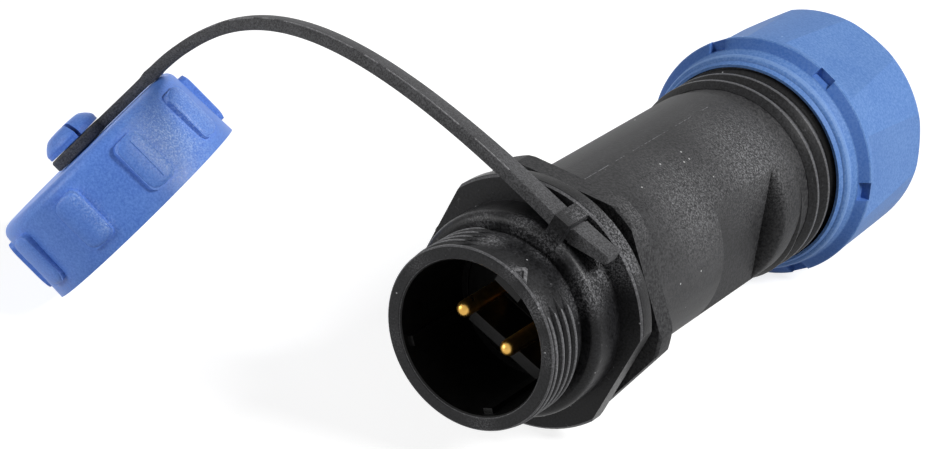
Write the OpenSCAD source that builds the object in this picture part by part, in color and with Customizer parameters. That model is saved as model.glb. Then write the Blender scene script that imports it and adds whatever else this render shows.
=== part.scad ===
// Circular connector plug: two pins in a threaded front shell, a back shell with
// a cable nut, and a dust cap on a moulded strap.
// The connector's axis is +Y, from the mating rim at y = 0 towards the cable.

/* [Front shell] */
// Radius of the socket round the pins
socket_r = 7.58; // [7.3:0.02:7.8]
// Depth of the socket down to the insert's face
socket_depth = 10.4; // [9:0.1:11]
// Root radius of the coupling thread
coupling_root_r = 8.75; // [8.5:0.05:8.9]
// Height of the coupling thread's ridge
coupling_ridge_h = 0.4; // [0.3:0.05:0.6]
// Length of the coupling thread
coupling_len = 5.2; // [4.5:0.1:5.4]
// Radius of the relief behind the thread
relief_r = 8.4; // [8.2:0.05:8.6]
// Width of the relief behind the thread
relief_w = 0.7; // [0.5:0.1:1]
// Radius of the collar under the strap
collar_back_r = 10.2; // [10:0.05:10.4]
// Radius of the collar's rounded front edge
collar_round = 0.85; // [0.6:0.05:1]
// Front face of the round flange
flange_y = 9.6; // [9.2:0.1:10]
// Thickness of the round flange
flange_t = 1.9; // [1.5:0.1:2.2]
// Step of the round flange over the strap loop
flange_step = 0.1; // [0.05:0.05:0.2]
// Depth of the flange's two flats
flange_flat_d = 1.35; // [1:0.01:1.6]
// Turn of the flange's flats about the axis
flange_turn = -28; // [-40:1:-20]
// Radius of the spigot's thread root inside the back shell
spigot_root_r = 8.55; // [8.5:0.05:8.6]
// Height of the spigot thread's ridge
spigot_ridge_h = 0.4; // [0.3:0.05:0.45]
// Length of the plain pilot in front of the spigot's thread
pilot_len = 1.5; // [1.2:0.1:2]
// Length of the spigot behind the flange
spigot_len = 9.5; // [9.2:0.1:10]
// Width of the key rib inside the socket
key_w = 3.0; // [2:0.1:4]
// Height of the key rib
key_h = 0.9; // [0.6:0.1:1.2]
// Place of the key rib round the socket
key_turn = 56; // [50:1:62]
// Width of the two narrow guide ribs
guide_w = 1.0; // [0.6:0.1:1.4]
// Height of the two narrow guide ribs
guide_h = 0.5; // [0.3:0.1:0.7]

/* [Strap loop] */
// Place of the loop round the collar
loop_turn = 61; // [55:1:66]
// Width of the loop's bar
loop_bar_w = 1.7; // [1.4:0.1:2.2]
// Thickness of the loop's bar
loop_bar_t = 0.8; // [0.7:0.05:0.9]
// Front face of the loop's leg
loop_y = 5.95; // [5.9:0.05:6.1]
// Thickness of the loop's leg along the axis
loop_leg_t = 0.9; // [0.7:0.05:1]

/* [Contacts] */
// Radius of a pin
pin_r = 0.8; // [0.6:0.05:1]
// Distance between the two pins
pin_pitch = 5.5; // [5:0.1:6]
// Turn of the pin row about the axis
pin_turn = -30; // [-40:1:-25]
// Depth of the pin tips below the rim
pin_tip_y = 2.2; // [2:0.1:4]
// Depth of the solder cup's shoulder behind the insert's seat
cup_seat = 2; // [1.5:0.1:2.5]
// Radius of the pin's shank in the insert
shank_r = 1.2; // [1.15:0.05:1.25]
// Radius of the solder cup
cup_r = 1.45; // [1.4:0.05:1.6]
// Radius of the hole in the solder cup
cup_hole_r = 0.95; // [0.8:0.05:1.05]
// Length of the solder cup behind the insert
cup_len = 5; // [4:0.1:6]

/* [Insert] */
// Radius of the insert's nose in the socket
nose_r = 6.9; // [6.7:0.05:7]
// Radius of the insert's seat in the front shell
seat_r = 7.4; // [7.3:0.05:7.5]
// Thickness of the stop lip in front of the seat
lip_t = 1; // [0.8:0.1:1.4]
// Length of the insert's flange
insert_flange_t = 4.6; // [4:0.1:5]
// Length of the insert's tail behind its flange
insert_tail_t = 3; // [2.8:0.1:3.4]
// Radius of the insert's tail
insert_tail_r = 6; // [5.6:0.1:6.2]
// Thickness of the rib beside the pins
rib_w = 1.2; // [1:0.1:1.4]
// Height of the rib beside the pins
rib_h = 4.9; // [4.6:0.1:6]
// Distance of the rib's middle from the row of pins
rib_drop = 2.05; // [2:0.05:2.3]
// Thickness of the ring behind the insert
ring_t = 2.4; // [2:0.1:2.7]

/* [Back shell] */
// Gap between the two flanges, filled by the seal
joint_gap = 1.25; // [1.1:0.05:1.4]
// Thickness of the hexagonal flange
hex_t = 2.4; // [2:0.1:3]
// Depth of the hexagon's flats below its rounded corners
hex_flat_d = 1.25; // [1:0.05:1.4]
// Distance of the hexagon's corners inside the nut's radius
hex_inset = 0.1; // [0:0.05:0.4]
// Turn of the hexagon's flats about the axis
hex_turn = -41.5; // [-55:0.5:-30]
// Radius of the tube
tube_r = 10.1; // [10:0.05:10.4]
// Rear end of the plain tube
tube_end_y = 45.3; // [44:0.1:46]
// Distance of the spanner flats from the axis
spanner_flat = 7.9; // [7.7:0.1:9]
// Front end of the spanner flats
spanner_front_y = 29.5; // [28:0.1:34]
// Rear end of the spanner flats
spanner_rear_y = 42.5; // [41:0.1:43.5]
// Turn of the spanner flats about the axis
spanner_turn = -8.6; // [-20:0.2:10]
// Radius of the wire room in the tube
room_r = 6.6; // [6.2:0.1:6.8]
// Root radius of the rear thread
rear_root_r = 9.85; // [9.7:0.05:9.95]
// Height of the rear thread's ridge
rear_ridge_h = 0.75; // [0.5:0.05:0.8]
// Rear end of the back shell
shell_end_y = 62; // [61:0.1:63]

/* [Cable gland] */
// Radius of the seal's counterbore
gland_bore_r = 7.7; // [7.4:0.05:7.9]
// Depth of the counterbore from the rear end
gland_depth = 11; // [10:0.1:12]
// Length of the cable seal
seal_len = 6.2; // [5:0.1:6.3]
// Radius of the hole in the cable seal
seal_hole_r = 3.7; // [3:0.1:4.2]
// Free travel of the gland ring before it meets the seal
gland_travel = 2.34; // [2:0.02:2.6]
// Thickness of the gland ring's flange
gland_flange_t = 1; // [0.8:0.1:1.3]
// Thickness of the slip washer
washer_t = 0.6; // [0.4:0.1:0.8]

/* [Clamp nut] */
// Length of the rear thread that the nut covers
nut_cover = 9.8; // [9:0.1:10.4]
// Thickness of the nut's rear wall
nut_wall = 3.16; // [2.8:0.02:3.6]
// Outer radius of the lip's front edge
nut_lip_r = 11; // [10.9:0.05:11.2]
// Share of the nut's wall that the lip's slope takes
nut_lip_share = 0.435; // [0.4:0.005:0.5]
// Length of the lip in front of the shoulder
nut_lip_len = 2.4; // [2:0.1:3]
// Step of the nut's shoulder over the round flange
nut_step = 0.33; // [0.2:0.01:0.5]
// Taper of the nut on a radius, from the shoulder to the rear
nut_taper = 0.4; // [0.3:0.05:0.6]
// Depth of the nut's grip flats at the shoulder
nut_flat_d = 0.85; // [0.6:0.05:1]
// Turn of the grip flats about the axis
nut_flat_turn = 60; // [50:1:70]
// Number of notches in the shoulder
notch_count = 6; // [4:1:8]
// Width of a notch
notch_w = 2; // [1.4:0.1:2.6]
// Depth of a notch along the axis
notch_d = 1.1; // [0.6:0.1:1.6]
// Turn of the first notch about the axis
notch_turn = -5.4; // [-10:0.2:10]
// Radius of the cable hole
cable_r = 4.6; // [4:0.1:5]

/* [Dust cap] */
// Distance of the cap's closed face from the connector's axis, sideways
cap_reach = 56; // [54:0.5:58]
// Distance of the cap's closed face behind the mating rim
cap_back = 12.7; // [11:0.1:14]
// Height of the cap's closed face over the connector's axis
cap_up = 2.6; // [2.5:0.1:3]
// Height of the cap from its closed face to its mouth
cap_h = 9.2; // [8.8:0.1:9.6]
// Outer radius of the skirt at the closed end
cap_r = 12; // [11.8:0.05:12.1]
// Thickness of the closed end
cap_roof_t = 1.8; // [1.5:0.1:2.2]
// Outer radius of the skirt at the mouth
cap_mouth_r = 12.35; // [12.2:0.05:12.4]
// Outer radius of the grip lugs
lug_r = 12.6; // [12.4:0.05:12.8]
// Number of grip lugs
lug_count = 9; // [7:1:10]
// Width of a grip lug
lug_w = 3.3; // [2.8:0.1:3.8]
// Distance of the lugs from the closed face
lug_top = 1.6; // [1.3:0.1:2.2]
// Distance of the lugs from the mouth
lug_foot = 1.4; // [0.9:0.1:1.8]
// Turn of the first lug about the cap's axis
lug_turn = -15; // [-20:1:20]
// Radius of the stud
stud_r = 1.5; // [1.3:0.05:1.7]
// Radius of the stud's head
stud_head_r = 3.25; // [2.8:0.05:3.35]
// Height of the stud's head
stud_head_h = 1.75; // [1.5:0.05:2.1]
// Radius of the flat top of the stud's head
stud_top_r = 2; // [1.6:0.1:2.4]
// Width of the slit in the stud's head
stud_slit_w = 0.4; // [0.3:0.1:0.7]
// Turn of the slit round the stud
stud_slit_turn = 48; // [0:1:90]
// Thickness of the gasket in the cap
cap_gasket_t = 1; // [0.8:0.1:1.2]
// Inner radius of the gasket in the cap
cap_gasket_r = 6.6; // [6.2:0.1:7]

/* [Strap] */
// Width of the strap
strap_w = 2.5; // [2.2:0.1:2.6]
// Thickness of the strap
strap_t = 1.3; // [1.1:0.05:1.35]
// Radius of the eye round the stud
strap_eye_r = 3.4; // [3.1:0.1:3.6]
// Length of the barbed tail past the loop
strap_tail = 5.3; // [5:0.1:7]
// Width of the tail at its tip
tail_tip_w = 2; // [1.6:0.1:2.2]
// Thickness of the tail at its tip
tail_tip_t = 1; // [0.7:0.05:1.1]
// Height of the tail's barb over each face of the strap
barb_h = 0.2; // [0.15:0.05:0.25]
// Reach of the strap's curve out of the loop
strap_rise = 41.7; // [39:0.1:44]
// Reach of the strap's curve back from the cap
strap_fall = 18.7; // [17:0.1:21]

/* [Clearances] */
// Running clearance on a radius
run_gap = 0.08; // [0.05:0.01:0.1]
// Clearance between a screw thread's crest and its nut
thread_gap = 0.1; // [0.08:0.01:0.12]
// Clearance between seated faces
seat_gap = 0.05; // [0.03:0.01:0.06]
// Clearance of the strap under the loop's bar
strap_gap = 0.12; // [0.08:0.01:0.2]
// Clearance of the strap over the collar
collar_gap = 0.15; // [0.1:0.01:0.2]

/* [Hidden] */
$fn = 96;
black = [0.09, 0.09, 0.1];
blue = [0.3, 0.5, 0.8];
gold = [0.85, 0.65, 0.25];
rubber = [0.05, 0.05, 0.05];
eps = 0.01;
// Chamfer on moulded edges
edge = 0.25;
// Overlap of shapes that are moulded as one
join = 0.5;
// Reach of a cutting shape past the face it cuts
cut = 1;
// Clearance of a pressed contact in its hole
pin_gap = 0.03;

// Radii that stack up from the collar through the strap and its loop to the flanges and the nut
strap_r = collar_back_r + collar_gap + strap_t / 2;
loop_in_r = strap_r + strap_t / 2 + strap_gap;
loop_out_r = loop_in_r + loop_bar_t;
flange_r = loop_out_r + flange_step;
flange_flat = flange_r - flange_flat_d;
nut_r = flange_r + nut_step;
nut_rear_r = nut_r - nut_taper;
nut_flat = nut_r - nut_flat_d;
nut_lip_foot_r = nut_lip_r + nut_lip_share * (nut_r - nut_lip_r);
hex_corner_r = nut_r - hex_inset;
hex_flat = hex_corner_r - hex_flat_d;

// Stations along the axis
collar_y = coupling_len + relief_w;
flange_back_y = flange_y + flange_t;
spigot_end_y = flange_back_y + spigot_len;
hex_y = flange_back_y + joint_gap;
hex_back_y = hex_y + hex_t;
spigot_bore_r = spigot_root_r + spigot_ridge_h + thread_gap;
spigot_bore_end_y = spigot_end_y + 1;
pilot_r = spigot_bore_r - run_gap;
pilot_end_y = hex_y + pilot_len;
key_y = 0.4;
guide_y = 0.9;
guide_turns = [-78, 198];
seat_y = socket_depth + lip_t;
insert_back_y = seat_y + insert_flange_t;
insert_end_y = insert_back_y + insert_tail_t;
rib_r = nose_r - 0.4;
rib_y = socket_depth - rib_h;
cup_y = seat_y + cup_seat;
cup_end_y = insert_end_y + cup_len;
gland_bore_y = shell_end_y - gland_depth;
seal_end_y = gland_bore_y + seat_gap + seal_len;
nut_y = shell_end_y - nut_cover;
nut_bore_r = rear_root_r + rear_ridge_h + thread_gap;
stop_gap = 0.2;
gland_front_y = seal_end_y + gland_travel + stop_gap;
gland_flange_y = shell_end_y + gland_travel + stop_gap;
gland_back_y = gland_flange_y + gland_flange_t;
gland_r = gland_bore_r - run_gap;
gland_flange_r = rear_root_r - stop_gap;
nut_seat_y = gland_back_y + washer_t + 2 * seat_gap;
nut_end_y = nut_seat_y + nut_wall;
nut_shoulder_y = nut_y + nut_lip_len;
nut_edge_y = nut_shoulder_y + 0.9;
nut_flat_y = nut_edge_y + 0.6;
notch_r = nut_lip_foot_r + 0.1;
nut_round = 1.6;
nut_lead = 1;
seal_lead = 1;
washer_r = cable_r + 0.3;

// Cap: the strap's eye lies on the closed face, and the mouth looks along the cap's axis
cap_face = [-cap_reach, cap_back, cap_up];
cap_tilt = 134.8;
cap_yaw = 21;
cap_bore_r = coupling_root_r + coupling_ridge_h + thread_gap;
cap_axis = [sin(cap_tilt) * cos(cap_yaw), sin(cap_tilt) * sin(cap_yaw), cos(cap_tilt)];
cap_across = [-sin(cap_yaw), cos(cap_yaw), 0];
cap_round = 1.2;
lug_corner = 0.8;
stud_h = strap_t + 2 * seat_gap;
stud_rim_h = 0.45;
stud_slit_d = stud_head_h + stud_h / 2;

// Turns a shape drawn round +Z so that its axis lies along +Y, at an angle seen from the front
module axial(turn = 0)
    rotate([-90, 0, 0])
        rotate([0, 0, -turn])
            children();

module revolve(points)
    rotate_extrude()
        polygon(points);

module tube(r_out, r_in, y0, y1)
    translate([0, 0, y0])
        difference() {
            cylinder(r = r_out, h = y1 - y0);
            translate([0, 0, -eps])
                cylinder(r = r_in, h = y1 - y0 + 2 * eps);
        }

// Round flange with chamfered edges
module disc(r_in, r_out, y0, y1)
    revolve([[r_in, y0], [r_out - edge, y0], [r_out, y0 + edge],
        [r_out, y1 - edge], [r_out - edge, y1], [r_in, y1]]);

module at_cap()
    translate(cap_face)
        rotate([0, cap_tilt, cap_yaw])
            children();

// Strap: a cubic curve from the loop to the stud, on which the band turns from the
// connector's axis to the cap's face
strap_y = (loop_y + loop_leg_t + flange_y) / 2;
strap_lean = 34;
strap_out = [-cos(strap_lean), 0, sin(strap_lean)];
tail_lean = 24;
tail_out = [-cos(tail_lean), 0, sin(tail_lean)];
strap_start = [strap_r * cos(loop_turn), strap_y, strap_r * sin(loop_turn)];
strap_end = cap_face - (seat_gap + strap_t / 2) * cap_axis;
strap_in_turn = -28.4;
cap_x = [cos(cap_tilt) * cos(cap_yaw), cos(cap_tilt) * sin(cap_yaw), -sin(cap_tilt)];
strap_in = cos(strap_in_turn) * cap_x + sin(strap_in_turn) * cap_across;
strap_steps = 48;
strap_twist = 0.52;

function unit(v) = v / norm(v);

function bezier(a, b, c, d, u) =
    pow(1 - u, 3) * a + 3 * u * pow(1 - u, 2) * b + 3 * u * u * (1 - u) * c + pow(u, 3) * d;

function bezier_way(a, b, c, d, u) =
    unit(pow(1 - u, 2) * (b - a) + 2 * u * (1 - u) * (c - b) + u * u * (d - c));

strap_b = strap_start + strap_rise * strap_out;
strap_c = strap_end - strap_fall * strap_in;

function strap_at(u) = bezier(strap_start, strap_b, strap_c, strap_end, u);
function strap_way(u) = bezier_way(strap_start, strap_b, strap_c, strap_end, u);

// Direction across the band, square to the curve
function strap_side(u) =
    let (way = strap_way(u),
        turned = pow(u, strap_twist),
        across = [0, 1, 0] * (1 - turned) + unit(cross(cap_axis, strap_in)) * turned)
        unit(across - (across * way) * way);

// Four corners of the band's section
function band(at, way, side, w, t) =
    let (up = cross(side, way))
        [for (k = [[-1, -1], [1, -1], [1, 1], [-1, 1]]) at + k[0] * w / 2 * side + k[1] * t / 2 * up];

// Arc in a profile, from one angle to another
function arc(centre, r, from, to, steps = 6) =
    [for (i = [0:steps])
        let (a = from + (to - from) * i / steps)
            centre + r * [cos(a), sin(a)]];

module front_shell() color(black) axial() {
    revolve(concat(
        [[socket_r + edge, 0], [coupling_root_r, 0], [coupling_root_r, coupling_len]],
        [[relief_r, coupling_len + edge], [relief_r, collar_y]],
        arc([collar_back_r - collar_round, collar_y + collar_round], collar_round, -90, 0),
        [[collar_back_r, flange_back_y], [pilot_r, flange_back_y], [pilot_r, pilot_end_y]],
        [[spigot_root_r, pilot_end_y + edge], [spigot_root_r, spigot_end_y]],
        [[seat_r + run_gap, spigot_end_y], [seat_r + run_gap, seat_y]],
        [[nose_r + run_gap, seat_y], [nose_r + run_gap, socket_depth]],
        [[socket_r, socket_depth], [socket_r, edge]]
    ));
    intersection() {
        disc(collar_back_r - join, flange_r, flange_y, flange_back_y);
        rotate([0, 0, -flange_turn])
            translate([-flange_flat, -flange_r, flange_y])
                cube([2 * flange_flat, 2 * flange_r, flange_t]);
    }
    rotate([0, 0, -loop_turn]) {
        translate([loop_in_r, -loop_bar_w / 2, loop_y])
            cube([loop_bar_t, loop_bar_w, flange_y - loop_y + flange_t / 2]);
        translate([relief_r - join / 2, -loop_bar_w / 2, loop_y])
            cube([loop_in_r + loop_bar_t / 2 - relief_r + join / 2, loop_bar_w, loop_leg_t]);
    }
    wall_rib(key_turn, key_w, key_h, key_y);
    for (turn = guide_turns)
        wall_rib(turn, guide_w, guide_h, guide_y);
}

// Rib on the socket's wall, running down to the insert
module wall_rib(turn, w, h, y)
    rotate([0, 0, -turn])
        translate([socket_r - h, -w / 2, y])
            cube([h + join, w, socket_depth + lip_t / 2 - y]);

module contact_insert() color(black) axial() difference() {
    union() {
        revolve([[0, socket_depth], [nose_r, socket_depth], [nose_r, seat_y + seat_gap],
            [seat_r, seat_y + seat_gap], [seat_r, insert_back_y], [insert_tail_r, insert_back_y],
            [insert_tail_r, insert_end_y], [0, insert_end_y]]);
        intersection() {
            translate([0, 0, rib_y])
                cylinder(r = rib_r, h = rib_h + lip_t);
            rotate([0, 0, -pin_turn])
                translate([-pin_pitch / 2, rib_drop - rib_w / 2, rib_y])
                    cube([pin_pitch / 2 + nose_r, rib_w, rib_h + lip_t]);
        }
    }
    for (side = [0, 180])
        rotate([0, 0, side - pin_turn])
            translate([pin_pitch / 2, 0, 0]) {
                cylinder(r = shank_r + pin_gap, h = insert_end_y + cut);
                translate([0, 0, cup_y - seat_gap])
                    cylinder(r = cup_r + pin_gap, h = insert_end_y);
            }
}

module contact_pin(turn) color(gold) axial(turn) translate([pin_pitch / 2, 0, 0]) difference() {
    revolve(concat(
        [[0, cup_end_y]],
        arc([0, pin_tip_y + pin_r], pin_r, -90, 0, 8),
        [[pin_r, socket_depth], [shank_r, socket_depth], [shank_r, cup_y], [cup_r, cup_y], [cup_r, cup_end_y]]
    ));
    translate([0, 0, cup_end_y - 0.8 * cup_len])
        cylinder(r = cup_hole_r, h = cup_len);
    translate([-2 * cup_r, 0, cup_end_y - 0.6 * cup_len])
        cube([4 * cup_r, 2 * cup_r, cup_len]);
}

module contact_pin_a() contact_pin(pin_turn);

module contact_pin_b() contact_pin(pin_turn + 180);

module insert_ring() color(black) axial()
    tube(seat_r, insert_tail_r + run_gap, insert_back_y + seat_gap, insert_back_y + seat_gap + ring_t);

module joint_seal() color(rubber) axial() {
    ring_r = joint_gap / 2 - seat_gap;
    rotate_extrude()
        translate([pilot_r + seat_gap + ring_r, flange_back_y + joint_gap / 2])
            circle(r = ring_r);
}

module back_shell() color(black) axial() difference() {
    union() {
        revolve([[spigot_bore_r, hex_y], [tube_r, hex_y], [tube_r, tube_end_y - edge],
            [rear_root_r, tube_end_y], [rear_root_r, shell_end_y - edge],
            [rear_root_r - edge, shell_end_y], [gland_bore_r, shell_end_y], [gland_bore_r, gland_bore_y],
            [room_r, gland_bore_y], [room_r, spigot_bore_end_y], [spigot_bore_r, spigot_bore_end_y]]);
        intersection() {
            disc(tube_r - join, hex_corner_r, hex_y, hex_back_y);
            rotate([0, 0, -hex_turn + 30])
                translate([0, 0, hex_y])
                    cylinder(r = hex_flat / cos(30), h = hex_t, $fn = 6);
        }
    }
    for (side = [0, 180])
        rotate([0, 0, side - spanner_turn])
            translate([spanner_flat, -tube_r, spanner_front_y])
                cube([tube_r, 2 * tube_r, spanner_rear_y - spanner_front_y]);
}

module cable_seal() color(rubber) axial()
    revolve([[seal_hole_r, gland_bore_y + seat_gap], [gland_r, gland_bore_y + seat_gap],
        [gland_r, seal_end_y], [seal_hole_r + seal_lead, seal_end_y], [seal_hole_r, seal_end_y - seal_lead]]);

module gland_ring() color(black) axial()
    revolve([[cable_r, gland_front_y], [gland_r, gland_front_y], [gland_r, gland_flange_y],
        [gland_flange_r, gland_flange_y], [gland_flange_r, gland_back_y], [cable_r, gland_back_y]]);

module slip_washer() color("gainsboro") axial()
    tube(gland_flange_r, washer_r, gland_back_y + seat_gap, gland_back_y + seat_gap + washer_t);

module clamp_nut() color(blue) axial() difference() {
    revolve(concat(
        [[nut_bore_r, nut_y], [nut_lip_r, nut_y], [nut_lip_foot_r, nut_shoulder_y], [nut_r, nut_edge_y]],
        arc([nut_rear_r - nut_round, nut_end_y - nut_round], nut_round, 0, 90),
        [[cable_r + nut_lead, nut_end_y], [cable_r, nut_end_y - nut_lead], [cable_r, nut_seat_y]],
        [[gland_flange_r + run_gap, nut_seat_y], [gland_flange_r + run_gap, gland_flange_y - edge]],
        [[nut_bore_r, gland_flange_y - edge]]
    ));
    for (i = [0:5])
        rotate([0, 0, i * 60 - nut_flat_turn])
            translate([nut_flat, -nut_r, nut_flat_y])
                cube([nut_r, 2 * nut_r, nut_end_y - nut_flat_y + cut]);
    for (i = [0:notch_count - 1])
        rotate([0, 0, i * 360 / notch_count - notch_turn])
            translate([notch_r, -notch_w / 2, nut_shoulder_y - cut])
                cube([nut_r, notch_w, cut + nut_edge_y - nut_shoulder_y + notch_d]);
}

module cap() color(blue) at_cap() {
    revolve(concat(
        [[0, 0]],
        arc([cap_r - cap_round, cap_round], cap_round, -90, 0),
        [[cap_mouth_r, cap_h]],
        [[cap_bore_r, cap_h], [cap_bore_r, cap_roof_t], [0, cap_roof_t]]
    ));
    for (i = [0:lug_count - 1])
        rotate([0, 0, lug_turn + i * 360 / lug_count])
            grip_lug();
    difference() {
        revolve(concat(
            [[0, -stud_h - stud_head_h], [stud_top_r, -stud_h - stud_head_h], [stud_head_r, -stud_h - stud_rim_h]],
            [[stud_head_r, -stud_h], [stud_r, -stud_h], [stud_r, join], [0, join]]
        ));
        rotate([0, 0, stud_slit_turn])
            translate([-stud_head_r - cut, -stud_slit_w / 2, -stud_h - stud_head_h - cut])
                cube([2 * stud_head_r + 2 * cut, stud_slit_w, stud_slit_d + cut]);
    }
}

// Raised lug with rounded corners, drawn along +X
module grip_lug() {
    length = cap_h - lug_foot - lug_top;
    translate([cap_r - cut, 0, lug_top])
        rotate([90, 0, 90])
            linear_extrude(lug_r - cap_r + cut) {
                translate([-lug_w / 2, lug_corner])
                    square([lug_w, length - 2 * lug_corner]);
                translate([-lug_w / 2 + lug_corner, 0])
                    square([lug_w - 2 * lug_corner, length]);
                for (side = [-1, 1], end = [lug_corner, length - lug_corner])
                    translate([side * (lug_w / 2 - lug_corner), end])
                        circle(r = lug_corner);
            }
}

module cap_gasket() color(rubber) at_cap()
    tube(cap_bore_r - run_gap, cap_gasket_r, cap_roof_t + seat_gap, cap_roof_t + seat_gap + cap_gasket_t);

module cap_strap() color(black) difference() {
    union() {
        strap_band();
        at_cap()
            translate([0, 0, -seat_gap - strap_t])
                cylinder(r = strap_eye_r, h = strap_t);
    }
    at_cap()
        translate([0, 0, -stud_h - cut])
            cylinder(r = stud_r + run_gap, h = stud_h + 2 * cut);
}

module strap_band() {
    side = [0, 1, 0];
    barb_s = loop_bar_w / 2 + edge;
    tail = [
        band(strap_start - strap_tail * tail_out, tail_out, side, tail_tip_w, tail_tip_t),
        band(strap_start - barb_s * tail_out, tail_out, side, strap_w, strap_t + 2 * barb_h),
        band(strap_start - (barb_s - eps) * tail_out, tail_out, side, strap_w, strap_t)
    ];
    arch = [for (i = [0:strap_steps])
        let (u = i / strap_steps)
            band(strap_at(u), strap_way(u), strap_side(u), strap_w, strap_t - 4 * eps)];
    rings = concat(tail, arch);
    last = len(rings) - 1;
    points = [for (ring = rings) each ring];
    walls = [for (i = [0:last - 1], k = [0:3])
        each [[4 * i + k, 4 * i + (k + 1) % 4, 4 * i + 4 + k],
            [4 * i + (k + 1) % 4, 4 * i + 4 + (k + 1) % 4, 4 * i + 4 + k]]];
    polyhedron(points, concat(walls, [[3, 2, 1, 0], [for (k = [0:3]) 4 * last + k]]));
}

front_shell();
contact_insert();
contact_pin_a();
contact_pin_b();
insert_ring();
joint_seal();
back_shell();
cable_seal();
gland_ring();
slip_washer();
clamp_nut();
cap();
cap_gasket();
cap_strap();
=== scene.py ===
import math

import bmesh
import bpy
from mathutils import Matrix, Vector


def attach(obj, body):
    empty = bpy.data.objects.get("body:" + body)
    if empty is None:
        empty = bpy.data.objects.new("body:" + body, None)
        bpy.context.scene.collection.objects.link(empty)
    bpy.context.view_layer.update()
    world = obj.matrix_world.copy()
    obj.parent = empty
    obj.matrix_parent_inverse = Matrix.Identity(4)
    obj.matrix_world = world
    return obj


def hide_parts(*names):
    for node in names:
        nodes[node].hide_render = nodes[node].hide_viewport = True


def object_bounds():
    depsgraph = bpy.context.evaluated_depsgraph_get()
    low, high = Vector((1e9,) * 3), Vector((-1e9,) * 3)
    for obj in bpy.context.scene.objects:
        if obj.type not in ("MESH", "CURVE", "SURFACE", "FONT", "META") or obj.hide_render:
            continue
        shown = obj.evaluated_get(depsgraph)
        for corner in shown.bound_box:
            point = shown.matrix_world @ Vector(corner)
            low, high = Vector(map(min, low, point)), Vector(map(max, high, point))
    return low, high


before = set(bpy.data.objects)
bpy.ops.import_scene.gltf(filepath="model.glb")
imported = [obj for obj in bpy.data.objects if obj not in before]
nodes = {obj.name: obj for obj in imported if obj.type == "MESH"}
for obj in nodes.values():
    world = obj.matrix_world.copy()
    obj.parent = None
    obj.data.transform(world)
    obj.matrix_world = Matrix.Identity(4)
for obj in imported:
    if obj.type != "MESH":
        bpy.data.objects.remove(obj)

cadBox = [list(corner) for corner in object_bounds()]
scene = bpy.context.scene
scene.view_settings.view_transform = "Standard"
mm = 0.001


def linear(hexColour, alpha=1.0):
    parts = [int(hexColour[i:i + 2], 16) / 255 for i in (1, 3, 5)]
    return [p / 12.92 if p <= 0.04045 else ((p + 0.055) / 1.055) ** 2.4 for p in parts] + [alpha]


def addNode(tree, kind, settings=None, links=None, **values):
    node = tree.nodes.new(kind)
    for name, value in (settings or {}).items():
        setattr(node, name, value)
    for name, value in values.items():
        socket = node.inputs[int(name[1:])] if name[1:].isdigit() else node.inputs[name.replace("_", " ")]
        socket.default_value = value
    for name, source in (links or {}).items():
        tree.links.new(source, node.inputs[name])
    return node


# camera at the photograph's angle: 33.4 degrees round from the socket, 22.4 degrees up; eye and lens in mm
cameraView = {"eye": (136.606, -207.320, 113.342), "right": (0.83415, 0.55153, 0.0),
              "up": (-0.20969, 0.31714, 0.92490), "back": (0.51011, -0.77151, 0.38020), "lens": 116.25, "sensor": 36,
              "nearest": 5}

camera = bpy.data.objects.new("plugCamera", bpy.data.cameras.new("plugCamera"))
camera.data.lens = cameraView["lens"]
camera.data.sensor_width = cameraView["sensor"]
camera.data.clip_start = cameraView["nearest"] * mm
camera.matrix_world = Matrix([[cameraView["right"][i], cameraView["up"][i], cameraView["back"][i],
                               cameraView["eye"][i] * mm] for i in range(3)] + [[0, 0, 0, 1]])
scene.collection.objects.link(camera)
scene.camera = camera
print("camera set")


# soft studio tent: a pale floor, one broad key to the right, a weak fill in front and a stronger one behind, metres
stage = {"floorSize": 3.0, "floorColour": "#b4b4b4", "floorGlow": 0.8, "skyColour": "#ffffff", "skyLight": 0.05,
         "key": {"at": (0.49, 0.09, 0.38), "size": 0.22, "watts": 3.8},
         "fill": {"at": (-0.16, -0.17, 0.08), "size": 0.14, "watts": 0.26},
         "back": {"at": (-0.50, 0.45, 0.08), "size": 0.30, "watts": 2.6},
         "aim": (-0.01, 0.025, 0.0)}


def newMaterial(name):
    material = bpy.data.materials.new(name)
    material.use_nodes = True
    material.node_tree.nodes.clear()
    return material, material.node_tree


def seenRays(tree):
    # 1 for what the camera sees, also in metal and through glass, and 0 for what lights the object
    rays = addNode(tree, "ShaderNodeLightPath").outputs
    seen = addNode(tree, "ShaderNodeMath", {"operation": "MAXIMUM"},
                   {0: rays["Is Camera Ray"], 1: rays["Is Glossy Ray"]})
    seen = addNode(tree, "ShaderNodeMath", {"operation": "MAXIMUM"},
                   {0: seen.outputs[0], 1: rays["Is Transmission Ray"]})
    return seen.outputs[0]


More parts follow.
